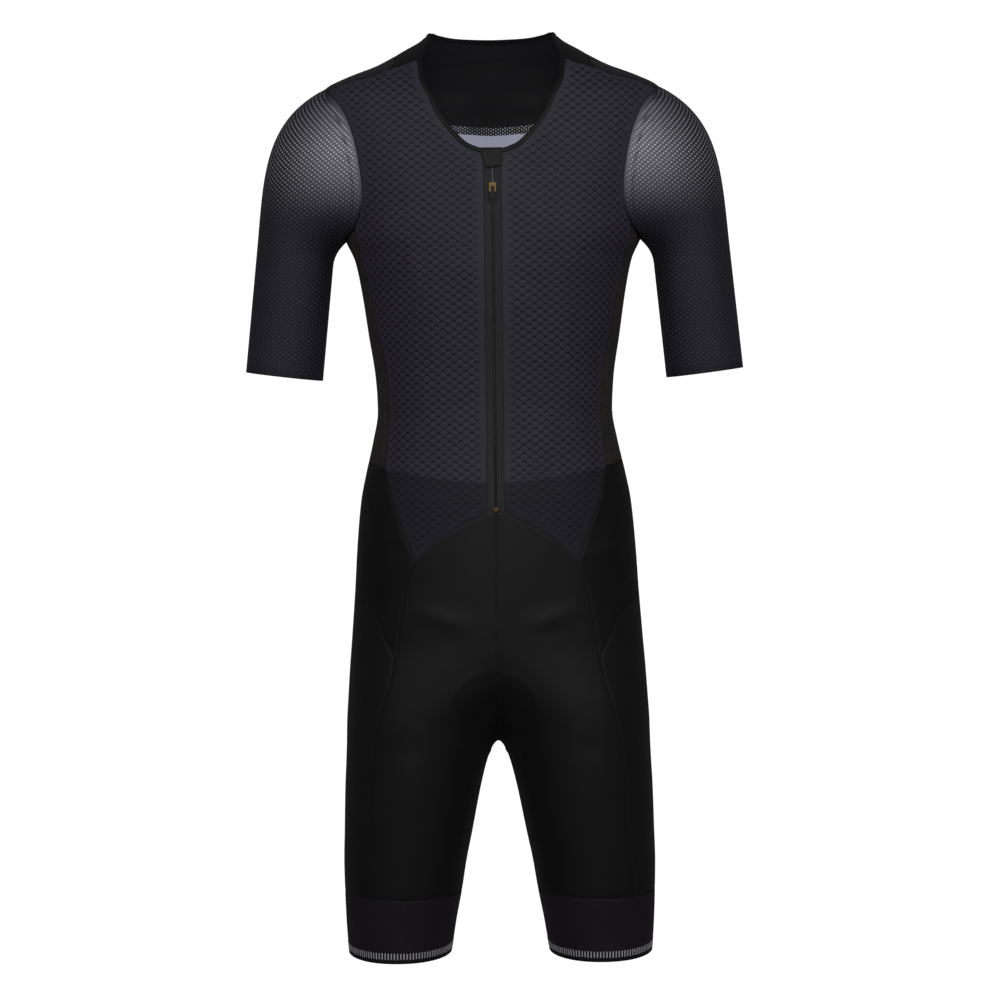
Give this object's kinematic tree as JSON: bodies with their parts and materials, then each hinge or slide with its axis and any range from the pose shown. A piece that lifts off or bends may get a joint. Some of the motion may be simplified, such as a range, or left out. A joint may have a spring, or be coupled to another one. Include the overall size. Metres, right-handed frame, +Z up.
{
  "type": "triathlon suit",
  "caption": "Short-sleeved one-piece stretch suit with a front zip, knee-length legs with elastic bands and a sewn-in seat pad, filled out as worn with nobody in it.",
  "frame": {"origin": "midway between the shoulders, at the height where the suit rests on the wearer's shoulders", "axes": "+Z up, -Y the way the wearer faces, +X the wearer's left"},
  "size_m": [0.492, 0.2367, 0.9194],
  "materials": {
    "relief_knit": "dark navy-charcoal polyester knit with a small raised scale relief, matt",
    "dot_mesh": "fine dotted knit, printed from light grey at the shoulder to dark navy at the cuff",
    "smooth_stretch": "smooth black polyamide and elastane stretch knit with a soft sheen",
    "ribbed_stretch": "charcoal stretch knit with fine slanting ribs",
    "back_mesh": "light knitted mesh, dark outside and pale grey inside",
    "side_mesh": "black open mesh knit",
    "gripper_elastic": "wide purple-black elastic band, matt, with a light row of ticks at the hem",
    "pad_foam": "knit-faced foam pad, dark grey",
    "zip_tape": "woven polyester zip tape",
    "zip_teeth": "moulded coil, black",
    "brass": "dark plated brass, worn bright at the edges",
    "pull_metal": "black lacquered brass pull"
  },
  "bodies": {
    "suit": {"back_mesh_band": "side_mesh", "back_panel": "back_mesh", "back_yoke": "smooth_stretch", "front_panel_L": "relief_knit", "front_panel_R": "relief_knit", "hip_panel_L": "smooth_stretch", "hip_panel_R": "smooth_stretch", "leg_band_L": "gripper_elastic", "leg_band_R": "gripper_elastic", "neck_binding": "smooth_stretch", "seat_pad": "pad_foam", "shorts_back_L": "smooth_stretch", "shorts_back_R": "smooth_stretch", "shorts_front_L": "smooth_stretch", "shorts_front_R": "smooth_stretch", "shoulder_inner_L": "smooth_stretch", "shoulder_inner_R": "smooth_stretch", "shoulder_outer_L": "ribbed_stretch", "shoulder_outer_R": "ribbed_stretch", "side_panel_L": "side_mesh", "side_panel_R": "side_mesh", "side_thigh_L": "smooth_stretch", "side_thigh_R": "smooth_stretch", "sleeve_L": "dot_mesh", "sleeve_R": "dot_mesh", "zip_bottom_stop": "brass", "zip_garage": "smooth_stretch", "zip_slider": "brass", "zip_tape_L": "zip_tape", "zip_tape_R": "zip_tape", "zip_teeth": "zip_teeth"},
    "pull": {"zip_pull": "pull_metal"}
  },
  "joints": [
    {"name": "pull_hinge", "type": "hinge", "parent": "suit", "child": "pull", "pos_m": [0, -0.11405, -0.13214], "axis": [1, 0, 0], "range_deg": [-160, 0]}
  ]
}
